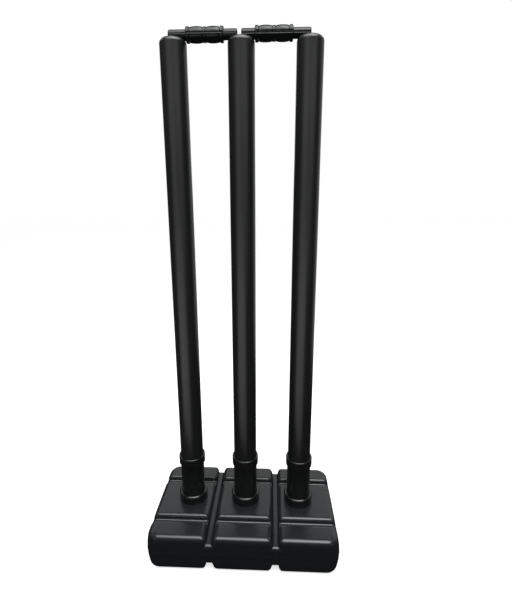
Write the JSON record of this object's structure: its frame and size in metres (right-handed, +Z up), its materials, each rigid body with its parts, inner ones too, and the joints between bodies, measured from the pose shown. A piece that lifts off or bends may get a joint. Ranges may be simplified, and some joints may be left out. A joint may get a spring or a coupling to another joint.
{
  "type": "cricket stumps",
  "caption": "Free-standing cricket wicket: round domed stumps in collared posts on a grooved rectangular plastic base, with turned bails laid across the stump tops",
  "frame": {"origin": "centre of the underside of the base, on the ground", "axes": "+Z up along the stumps, +X along the row of stumps, -Y out of the front face of the base"},
  "size_m": [0.304, 0.171, 0.7846],
  "materials": {
    "base_plastic": "gloss",
    "bush_plastic": "gloss",
    "post_plastic": "satin",
    "stump_plastic": "satin",
    "bail_plastic": "gloss",
    "plug_rubber": "matte"
  },
  "bodies": {
    "base": {"base_shell": "base_plastic", "well_bush_left": "bush_plastic", "well_bush_middle": "bush_plastic", "well_bush_right": "bush_plastic"},
    "plug": {"filler_plug": "plug_rubber"},
    "left_post": {"post_left": "post_plastic"},
    "left_stump": {"stump_left": "stump_plastic"},
    "middle_post": {"post_middle": "post_plastic"},
    "middle_stump": {"stump_middle": "stump_plastic"},
    "right_post": {"post_right": "post_plastic"},
    "right_stump": {"stump_right": "stump_plastic"},
    "left_bail": {"bail_left": "bail_plastic"},
    "right_bail": {"bail_right": "bail_plastic"}
  },
  "joints": [
    {"name": "filler_plug_pull", "type": "slide", "parent": "base", "child": "plug", "axis": [0, 1, 0], "range_m": [0, 0.021]},
    {"name": "post_middle_pull", "type": "slide", "parent": "base", "child": "middle_post", "axis": [0, 0, 1], "range_m": [0, 0.064]},
    {"name": "post_left_pull", "type": "slide", "parent": "base", "child": "left_post", "axis": [0, 0, 1], "range_m": [0, 0.064]},
    {"name": "post_right_pull", "type": "slide", "parent": "base", "child": "right_post", "axis": [0, 0, 1], "range_m": [0, 0.064]},
    {"name": "stump_middle_pull", "type": "slide", "parent": "middle_post", "child": "middle_stump", "axis": [0, 0, 1], "range_m": [0, 0.051]},
    {"name": "stump_left_pull", "type": "slide", "parent": "left_post", "child": "left_stump", "axis": [0, 0, 1], "range_m": [0, 0.051]},
    {"name": "stump_right_pull", "type": "slide", "parent": "right_post", "child": "right_stump", "axis": [0, 0, 1], "range_m": [0, 0.051]},
    {"name": "bail_left_lift", "type": "slide", "parent": "middle_stump", "child": "left_bail", "axis": [0, 0, 1], "range_m": [0, 0.06]},
    {"name": "bail_right_lift", "type": "slide", "parent": "middle_stump", "child": "right_bail", "axis": [0, 0, 1], "range_m": [0, 0.06]}
  ],
  "couplings": [
    {"joint": "post_left_pull", "follows": "post_middle_pull", "ratio": 1},
    {"joint": "post_right_pull", "follows": "post_middle_pull", "ratio": 1},
    {"joint": "stump_left_pull", "follows": "stump_middle_pull", "ratio": 1},
    {"joint": "stump_right_pull", "follows": "stump_middle_pull", "ratio": 1}
  ]
}
